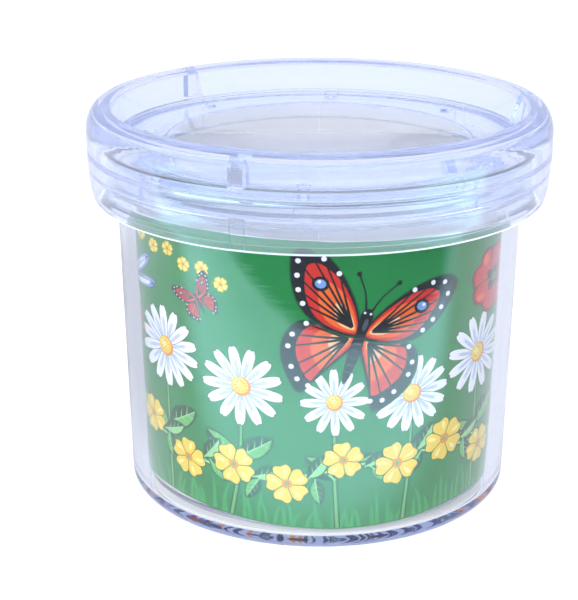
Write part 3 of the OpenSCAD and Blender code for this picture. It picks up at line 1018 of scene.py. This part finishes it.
def paint(mesh, inks):
    """Stores the ink of each face as a colour attribute, and shades the mesh smooth with sharp rims."""
    colours = mesh.color_attributes.new("ink", "FLOAT_COLOR", "CORNER")
    values = []
    for face, ink in zip(mesh.polygons, inks):
        values += linear(INKS[ink]) * face.loop_total
    colours.data.foreach_set("color", values)
    mesh.polygons.foreach_set("use_smooth", [True] * len(mesh.polygons))
    mesh.set_sharp_from_angle(angle=SHARP_TURN)


def printed_sheet(name, points, faces, inks, material):
    """A printed piece from its points and faces. Faces past the last ink are bare paper."""
    mesh = bpy.data.meshes.new(name)
    mesh.from_pydata(points, [], faces)
    mesh.materials.append(material)
    paint(mesh, inks + ["paper"] * (len(faces) - len(inks)))
    return new_object(name, mesh)


def ease(t):
    """Rises softly from 0 to 1 as t does."""
    return t * t * (3 - 2 * t)


def top_fall(u):
    """Share of the fall that the sleeve's upper edge has reached at u; it is made up again at the back."""
    start, end = TOP_FALL_U
    t = min(max((u - start) / (end - start), 0.0), 1.0)
    back = min(max((LABEL_HALF - u) / (LABEL_HALF - end), 0.0), 1.0)
    return ease(t) * back


def on_sleeve(u, v, depth=0.0):
    """Where a place on the flat sleeve comes in the jar, on its outside or some depth below it."""
    low, high = LABEL_Z
    z = v + DIP * ease(min(abs(u - DIP_U) / DIP_REACH, 1.0)) * (high - v) / (high - low)
    z -= TOP_FALL * top_fall(u) * (v - low) / (high - low)
    r = sleeve_r(z) - depth
    a = u / LABEL_R
    return Vector((r * math.sin(a), -r * math.cos(a), z)) * MM


def make_label(material):
    """The sleeve: printed outside, white paper inside, and open along the seam at the back."""
    columns = 160
    low, high = LABEL_Z
    border = [(-LABEL_HALF, low), (LABEL_HALF, low), (LABEL_HALF, high), (-LABEL_HALF, high)]
    across = [-LABEL_HALF + 2 * LABEL_HALF * k / columns for k in range(columns + 1)]
    lines = [((u, low), (u, high)) for u in across[1:-1]]
    spots, cells, inks = inked(border, label_artwork(), "ground", lines)
    points = [on_sleeve(p.x, p.y) for p in spots]
    faces = [tuple(c) for c in cells]
    outer = {}
    for i, p in enumerate(spots):
        if min(abs(p.y - low), abs(p.y - high)) < 1e-4:
            k = round((p.x + LABEL_HALF) / (2 * LABEL_HALF) * columns)
            outer[(k, abs(p.y - high) < 1e-4)] = i
    inner = {}
    for k, u in enumerate(across):
        for top in (False, True):
            inner[(k, top)] = len(points)
            points.append(on_sleeve(u, high if top else low, LABEL_T))
    for k in range(columns):
        faces.append((inner[(k, False)], inner[(k, True)], inner[(k + 1, True)], inner[(k + 1, False)]))
        faces.append((outer[(k, False)], inner[(k, False)], inner[(k + 1, False)], outer[(k + 1, False)]))
        faces.append((outer[(k, True)], outer[(k + 1, True)], inner[(k + 1, True)], inner[(k, True)]))
    faces.append((outer[(0, False)], outer[(0, True)], inner[(0, True)], inner[(0, False)]))
    faces.append((outer[(columns, True)], outer[(columns, False)], inner[(columns, False)],
                  inner[(columns, True)]))
    return printed_sheet("label_print", points, faces, inks, material)


def make_card(material):
    """The paper disc: a measuring scale on top and a dark border of insects underneath."""
    sides = 128
    border = [on_ring(CARD_R, 360 * k / sides) for k in range(sides)]
    points, faces, inks, rims = [], [], [], []
    # The underside's ground is the pale blue shade ink, not paper: painted shade for the dimmer, bluer light
    # under the card
    for shapes, ground, z, way in ((card_artwork(), "paper", FLOOR_Z + CARD_T - AIR, 1),
                                   (card_back(), "shade", FLOOR_Z - CARD_SINK, -1)):
        spots, cells, tones = inked(border, shapes, ground)
        first = len(points)
        points += [Vector((p.x, p.y, z)) * MM for p in spots]
        faces += [tuple(first + i for i in c[::way]) for c in cells]
        inks += tones
        rim = [i for i, p in enumerate(spots) if p.length > CARD_R - 0.05]
        rims.append([first + i for i in sorted(rim, key=lambda i: math.atan2(spots[i].y, spots[i].x))])
    top, low = rims
    for k in range(sides):
        j = (k + 1) % sides
        faces.append((top[k], low[k], low[j], top[j]))
    return printed_sheet("measuring_card", points, faces, inks, material)


# Finishes

def new_group(name, inputs, outputs):
    """A shader group with named inputs (name, socket type, value) and outputs (name, socket type)."""
    group = bpy.data.node_groups.new(name, "ShaderNodeTree")
    for label, kind, value in inputs:
        group.interface.new_socket(name=label, in_out="INPUT", socket_type=kind).default_value = value
    for label, kind in outputs:
        group.interface.new_socket(name=label, in_out="OUTPUT", socket_type=kind)
    return group, group.nodes.new("NodeGroupInput"), group.nodes.new("NodeGroupOutput")


def noise(tree, where, scale, **settings):
    """Noise at a scale in turns to the metre, with settings such as Detail."""
    return put(tree, "ShaderNodeTexNoise", {"Vector": where, "Scale": scale, **settings}).outputs[0]


def moulded_skin():
    """What a mould and handling leave on clear plastic: turning lines, flow waves and fine scuffs."""
    group, given, result = new_group("moulded_skin", [
        ("Turning", "NodeSocketFloat", 0.2), ("Waves", "NodeSocketFloat", 0.2),
        ("Scuffs", "NodeSocketFloat", 0.2), ("Smooth Roughness", "NodeSocketFloat", 0.01)],
        [("Roughness", "NodeSocketFloat"), ("Normal", "NodeSocketVector")])
    where = put(group, "ShaderNodeTexCoord").outputs["Object"]
    x, y, z = put(group, "ShaderNodeSeparateXYZ", {0: where}).outputs
    radius = math_node(group, "SQRT", math_node(group, "ADD", times(group, x, x), times(group, y, y)))
    rings = put(group, "ShaderNodeCombineXYZ", {"X": radius, "Y": z}).outputs[0]
    lathe = noise(group, rings, 900.0, Detail=2.0)
    flow = noise(group, where, 75.0, Detail=1.5)
    height = math_node(group, "ADD", times(group, lathe, given.outputs["Turning"]),
                       times(group, flow, given.outputs["Waves"]))
    bump = put(group, "ShaderNodeBump", {"Height": height, "Distance": 0.2 * MM, "Strength": 1.0})
    marks = noise(group, where, 420.0, Detail=5.0, Distortion=1.2)
    worn = put(group, "ShaderNodeMapRange", {"Value": marks, "From Min": 0.6, "From Max": 0.78}).outputs[0]
    rough = math_node(group, "MULTIPLY_ADD", worn, given.outputs["Scuffs"], given.outputs["Smooth Roughness"])
    group.links.new(rough, result.inputs["Roughness"])
    group.links.new(bump.outputs[0], result.inputs["Normal"])
    return group


def paper_grain():
    """Coated paper: a faint fibre relief and an uneven coat of ink."""
    group, given, result = new_group("paper_grain", [
        ("Ink", "NodeSocketColor", (1, 1, 1, 1)), ("Fibre", "NodeSocketFloat", 0.2),
        ("Mottle", "NodeSocketFloat", 0.06)],
        [("Color", "NodeSocketColor"), ("Roughness", "NodeSocketFloat"), ("Normal", "NodeSocketVector")])
    where = put(group, "ShaderNodeTexCoord").outputs["Object"]
    fibre = noise(group, where, 2600.0, Detail=3.0)
    cloud = noise(group, where, 260.0, Detail=4.0)
    tone = put(group, "ShaderNodeMapRange", {"Value": cloud, "From Min": 0.3, "From Max": 0.7}).outputs[0]
    shift = times(group, math_node(group, "SUBTRACT", tone, 0.5), given.outputs["Mottle"])
    light = math_node(group, "ADD", shift, 1.0)
    colour = put(group, "ShaderNodeVectorMath", {0: given.outputs["Ink"], "Scale": light}, operation="SCALE")
    rough = put(group, "ShaderNodeMapRange", {"Value": fibre, "From Min": 0.3, "From Max": 0.7,
                                              "To Min": 0.34, "To Max": 0.5}).outputs[0]
    bump = put(group, "ShaderNodeBump", {"Height": fibre, "Distance": 0.03 * MM,
                                         "Strength": given.outputs["Fibre"]})
    group.links.new(colour.outputs[0], result.inputs["Color"])
    group.links.new(rough, result.inputs["Roughness"])
    group.links.new(bump.outputs[0], result.inputs["Normal"])
    return group


def new_material(name):
    material = bpy.data.materials.new(name)
    material.use_nodes = True
    tree = material.node_tree
    tree.nodes.clear()
    return material, tree, put(tree, "ShaderNodeOutputMaterial")


def step_up(tree, value, start, end):
    """Rises from 0 to 1 as the value goes from start to end."""
    return put(tree, "ShaderNodeMapRange", {"Value": value, "From Min": start, "From Max": end},
               interpolation_type="SMOOTHSTEP").outputs[0]


def blend(tree, share, first, second):
    """The colour that goes from first to second with the share."""
    return put(tree, "ShaderNodeMix", {0: share, 6: first, 7: second}, data_type="RGBA").outputs[2]


# Painted glow for the light that clear plastic scatters in its walls and where the skirt is thin, and a
# painted highlight at the lip's edge
DEEP_PAINTED_GLOW = (0.45, 0.6, 1.0, 1)
THIN_PAINTED_GLOW = (0.06, 0.12, 0.2, 1)
LIP_PAINTED_HIGHLIGHT = (13.0, 14.0, 16.0, 1)


def painted_lip_highlight_and_glow(tree, painted_highlight_below):
    """The lid's painted glow: a painted highlight on the outside below a height, faint painted glow just
    above it and full painted glow higher up.
    """
    where = put(tree, "ShaderNodeTexCoord").outputs["Object"]
    height = put(tree, "ShaderNodeSeparateXYZ", {0: where}).outputs["Z"]
    share = step_up(tree, height, (painted_highlight_below + 0.1) * MM, (painted_highlight_below - 0.1) * MM)
    outside = math_node(tree, "SUBTRACT", 1.0, put(tree, "ShaderNodeNewGeometry").outputs["Backfacing"])
    rise = step_up(tree, height, (painted_highlight_below + 1.2) * MM, (painted_highlight_below + 4.0) * MM)
    return blend(tree, times(tree, share, outside), blend(tree, rise, THIN_PAINTED_GLOW, DEEP_PAINTED_GLOW), LIP_PAINTED_HIGHLIGHT)


def clear_plastic(name, haze, tint, depth_tint, density, turning, waves, scuffs, glow=0.0, painted_highlight_below=None):
    """Clear moulded plastic: it bends the light, scatters a little and takes a blue tint with depth.

    Rays from the lamps go straight through it, so that what it holds is lit without noise. A faint painted
    glow, given off by the plastic itself, stands for light scattered inside, and on a lid paints a lip
    highlight."""
    material, tree, end = new_material(name)
    skin = put(tree, "ShaderNodeGroup", node_tree=SKIN)
    for label, value in (("Turning", turning), ("Waves", waves), ("Scuffs", scuffs)):
        skin.inputs[label].default_value = value
    # The emission is painted glow: the plastic gives off light of its own in place of the light that it
    # scatters inside
    body = put(tree, "ShaderNodeBsdfPrincipled", {
        "Base Color": tint, "Transmission Weight": 1.0 - haze, "IOR": PLASTIC_IOR,
        "Roughness": skin.outputs["Roughness"], "Normal": skin.outputs["Normal"],
        "Emission Color": DEEP_PAINTED_GLOW, "Emission Strength": glow})
    # On a lid the painted glow also puts a painted highlight along the outside of the lip
    if painted_highlight_below is not None:
        tree.links.new(painted_lip_highlight_and_glow(tree, painted_highlight_below), body.inputs["Emission Color"])
    ray = put(tree, "ShaderNodeLightPath")
    through = put(tree, "ShaderNodeBsdfTransparent", {0: (0.95, 0.96, 0.99, 1)})
    mix = put(tree, "ShaderNodeMixShader", {0: ray.outputs["Is Shadow Ray"], 1: body.outputs[0],
                                            2: through.outputs[0]})
    inside = put(tree, "ShaderNodeVolumeAbsorption", {"Color": depth_tint, "Density": density})
    tree.links.new(mix.outputs[0], end.inputs["Surface"])
    tree.links.new(inside.outputs[0], end.inputs["Volume"])
    return material


def printed_paper(name, fibre, mottle):
    """Coated paper that shows the ink of each face."""
    material, tree, end = new_material(name)
    ink = put(tree, "ShaderNodeAttribute", attribute_name="ink")
    grain = put(tree, "ShaderNodeGroup", node_tree=GRAIN)
    tree.links.new(ink.outputs["Color"], grain.inputs["Ink"])
    grain.inputs["Fibre"].default_value = fibre
    grain.inputs["Mottle"].default_value = mottle
    body = put(tree, "ShaderNodeBsdfPrincipled", {
        "Base Color": grain.outputs["Color"], "Roughness": grain.outputs["Roughness"],
        "Normal": grain.outputs["Normal"], "Specular IOR Level": 0.2, "Coat Weight": 0.1,
        "Coat Roughness": 0.25})
    tree.links.new(body.outputs[0], end.inputs["Surface"])
    return material


# The stage. Its places are in metres on the floor, and a pair of them is where a change starts and ends

FLOOR_REACH = 1.5
FLOOR_LEVEL = -0.02 * MM
# Painted reflections: light and dark zones of the floor that gloss and glass show but the camera doesn't
# The bright round sheet: its middle, its edge, the end of the dark round it, and where the dark starts in y
SHEET_MIDDLE = (-0.051, 0.129, 0)
SHEET_EDGE = (0.243, 0.253)
DARK_END = (0.335, 0.30)
DARK_Y = (-0.03, -0.06)
DARK_SHARE = 0.96
# The painted grey patch at its left
GREY_RIGHT = (-0.02, -0.06)
GREY_LEFT = (-0.16, -0.11)
GREY_FRONT = (-0.02, 0.01)
GREY_BACK = (0.13, 0.09)
GREY_SHARE = 0.22
# The brighter painted strip in front of the jar, which the cup's wall reflects over the label as a pale veil:
# its back and front edge, how bright it is far off, how much more near the jar, and how much of that a steep
# ray still sees
STRIP_BACK = (-0.03, -0.05)
STRIP_FRONT = (-0.19, -0.16)
STRIP_NEAR = (-0.11, -0.07)
STRIP_LIGHT = 1.9
STRIP_MORE = 0.7
STEEP = (0.25, 0.45)
STEEP_LIGHT = 0.3


def backdrop_mix(tree, lit, plain, shown):
    """Gives plain to the camera, shown to what gloss and glass show, and lit to all other rays."""
    ray = put(tree, "ShaderNodeLightPath")
    glass = math_node(tree, "MAXIMUM", ray.outputs["Is Glossy Ray"], ray.outputs["Is Transmission Ray"])
    direct = math_node(tree, "LESS_THAN", ray.outputs["Diffuse Depth"], 0.5)
    first = put(tree, "ShaderNodeMixShader", {0: times(tree, glass, direct), 1: lit, 2: shown}).outputs[0]
    return put(tree, "ShaderNodeMixShader", {0: ray.outputs["Is Camera Ray"], 1: first, 2: plain}).outputs[0]


def glowing(tree, colour, strength):
    return put(tree, "ShaderNodeEmission", {"Color": colour, "Strength": strength}).outputs[0]


def painted_floor_zones(tree):
    """Painted reflections: what gloss and glass show of the floor, a bright sheet, dark past its edge, and a
    strip in front.
    """
    where = put(tree, "ShaderNodeTexCoord").outputs["Object"]
    x, y, _ = put(tree, "ShaderNodeSeparateXYZ", {0: where}).outputs
    apart = put(tree, "ShaderNodeVectorMath", {0: where, 1: SHEET_MIDDLE}, operation="DISTANCE")
    reach = apart.outputs["Value"]
    dark = times(tree, step_up(tree, reach, *SHEET_EDGE), step_up(tree, reach, *DARK_END),
                 step_up(tree, y, *DARK_Y), DARK_SHARE)
    grey = times(tree, step_up(tree, x, *GREY_RIGHT), step_up(tree, x, *GREY_LEFT),
                 step_up(tree, y, *GREY_FRONT), step_up(tree, y, *GREY_BACK), GREY_SHARE)
    level = math_node(tree, "SUBTRACT", 1.0, math_node(tree, "MAXIMUM", grey, dark))
    facing = put(tree, "ShaderNodeLayerWeight", {"Blend": 0.5}).outputs["Facing"]
    slant = math_node(tree, "MULTIPLY_ADD", step_up(tree, facing, *STEEP), 1 - STEEP_LIGHT, STEEP_LIGHT)
    near = math_node(tree, "MULTIPLY_ADD", step_up(tree, y, *STRIP_NEAR), STRIP_MORE, STRIP_LIGHT)
    around = glowing(tree, (0.86, 0.89, 1.0, 1), level)
    strip = glowing(tree, (0.62, 0.97, 1.1, 1), times(tree, level, near, slant))
    share = times(tree, step_up(tree, y, *STRIP_BACK), step_up(tree, y, *STRIP_FRONT))
    return put(tree, "ShaderNodeMixShader", {0: share, 1: around, 2: strip}).outputs[0]


def make_floor():
    """A pale floor that keeps the jar's shadow."""
    material, tree, end = new_material("studio_floor")
    matt = put(tree, "ShaderNodeBsdfDiffuse", {"Color": (0.8, 0.8, 0.8, 1)}).outputs[0]
    half = put(tree, "ShaderNodeBsdfDiffuse", {"Color": (0.42, 0.42, 0.42, 1)}).outputs[0]
    plain = put(tree, "ShaderNodeAddShader", {0: half, 1: glowing(tree, (1, 1, 1, 1), 0.62)}).outputs[0]
    tree.links.new(backdrop_mix(tree, matt, plain, painted_floor_zones(tree)), end.inputs["Surface"])
    mesh = bpy.data.meshes.new("studio_floor")
    corners = ((-1, -1), (1, -1), (1, 1), (-1, 1))
    points = [(x * FLOOR_REACH, y * FLOOR_REACH, FLOOR_LEVEL) for x, y in corners]
    mesh.from_pydata(points, [], [(0, 1, 2, 3)])
    mesh.materials.append(material)
    floor = new_object("studio_floor", mesh)
    floor.visible_shadow = False


def make_surround():
    """A plain white surround that gloss and glass show a little darker and bluer."""
    world = bpy.data.worlds.new("studio")
    bpy.context.scene.world = world
    world.use_nodes = True
    world.cycles.sampling_method = "NONE"
    tree = world.node_tree
    tree.nodes.clear()
    lit = put(tree, "ShaderNodeBackground", {"Color": (0.95, 0.97, 1.0, 1), "Strength": 0.75}).outputs[0]
    plain = put(tree, "ShaderNodeBackground", {"Color": (1, 1, 1, 1), "Strength": 1.0}).outputs[0]
    shown = put(tree, "ShaderNodeBackground", {"Color": (0.86, 0.875, 1.0, 1), "Strength": 0.89}).outputs[0]
    end = put(tree, "ShaderNodeOutputWorld")
    tree.links.new(backdrop_mix(tree, lit, plain, shown), end.inputs["Surface"])


def soft_lamp(name, place, size, power, aim=(0, 0, 0.035)):
    """A round soft lamp that points at the middle of the jar and isn't seen in gloss or glass."""
    lamp = bpy.data.lights.new(name, "AREA")
    lamp.shape = "DISK"
    lamp.size = size
    lamp.energy = power
    obj = bpy.data.objects.new(name, lamp)
    bpy.context.scene.collection.objects.link(obj)
    obj.visible_transmission = False
    obj.visible_glossy = False
    obj.location = place
    obj.rotation_euler = (Vector(aim) - Vector(place)).to_track_quat("-Z", "Y").to_euler()


def make_camera():
    """The photograph's view: 255 mm in front of the jar, 121 mm up and looking 19.5 degrees down."""
    camera = bpy.data.cameras.new("camera")
    camera.lens = 97.35
    camera.sensor_width = 36
    camera.clip_start = 0.01
    obj = bpy.data.objects.new("camera", camera)
    bpy.context.scene.collection.objects.link(obj)
    obj.location = (0, -0.2553, 0.1206)
    yaw, pitch = -0.019, 0.341
    ahead = Vector((math.sin(yaw) * math.cos(pitch), math.cos(yaw) * math.cos(pitch), -math.sin(pitch)))
    obj.rotation_euler = ahead.to_track_quat("-Z", "Y").to_euler()
    bpy.context.scene.camera = obj


# The jar put together

PLASTIC_IOR = 1.59
TURNED = turned_tree()
RING = ring_tree()
SKIN = moulded_skin()
GRAIN = paper_grain()

# glow sets the strength of each finish's painted glow
cup_finish = clear_plastic(
    "clear_cup_plastic", haze=0.005, tint=(0.98, 0.99, 1.0, 1), depth_tint=(0.45, 0.62, 0.95, 1),
    density=12.0, turning=0.025, waves=0.15, scuffs=0.05, glow=0.002)
liner_finish = clear_plastic(
    "clear_liner_plastic", haze=0.005, tint=(1, 1, 1, 1), depth_tint=(0.5, 0.65, 0.95, 1),
    density=5.0, turning=0.06, waves=0.2, scuffs=0.05)
lid_finish = clear_plastic(
    "clear_lid_plastic", haze=0.025, tint=(0.955, 0.97, 1.0, 1), depth_tint=(0.42, 0.52, 1.0, 1),
    density=30.0, turning=0.1, waves=0.25, scuffs=0.08, glow=0.05, painted_highlight_below=LIP_Z + 0.5)
lens_finish = clear_plastic(
    "clear_lens_plastic", haze=0.03, tint=(0.96, 0.975, 1.0, 1), depth_tint=(0.5, 0.65, 0.95, 1),
    density=8.0, turning=0.02, waves=0.1, scuffs=0.05, glow=0.01)
label_finish = printed_paper("label_paper", fibre=0.25, mottle=0.07)
card_finish = printed_paper("card_paper", fibre=0.3, mottle=0.05)

pieces = [
    (settle(turned("cup_clear", cup_outline(), cup_finish)), "jar", "outer_jar", "clear_cup"),
    (make_label(label_finish), "jar", "label_wrap", "printed_label"),
    (make_card(card_finish), "jar", "base_card", "printed_card"),
    (settle(turned("liner_clear", liner_outline(), liner_finish)), "jar", "inner_cup", "clear_liner"),
    (settle(make_lid(lid_finish)), "lid", "lid_cap", "clear_lid"),
    (settle(turned("lens_clear", lens_outline(), lens_finish)), "lid", "magnifier_lens", "clear_lens"),
]
for piece, body, node, slot in pieces:
    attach(piece, body)
    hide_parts(node)
for shape in HELPERS:
    bpy.data.objects.remove(shape)

make_floor()
make_surround()
soft_lamp("key", (-0.3, -0.6, 0.4), size=0.5, power=5.5)
soft_lamp("fill", (0.6, -0.3, 0.35), size=0.5, power=1.6)
soft_lamp("back", (0.1, 0.6, 0.6), size=0.5, power=1.6)
soft_lamp("under", (0, 0, -0.3), size=0.5, power=1.2)
soft_lamp("over", (0, -0.05, 0.5), size=0.4, power=1.9)
make_camera()

scene = bpy.context.scene
scene.view_settings.view_transform = "Standard"
scene.cycles.max_bounces = 32
scene.cycles.transmission_bounces = 28
scene.cycles.glossy_bounces = 12
scene.cycles.transparent_max_bounces = 32
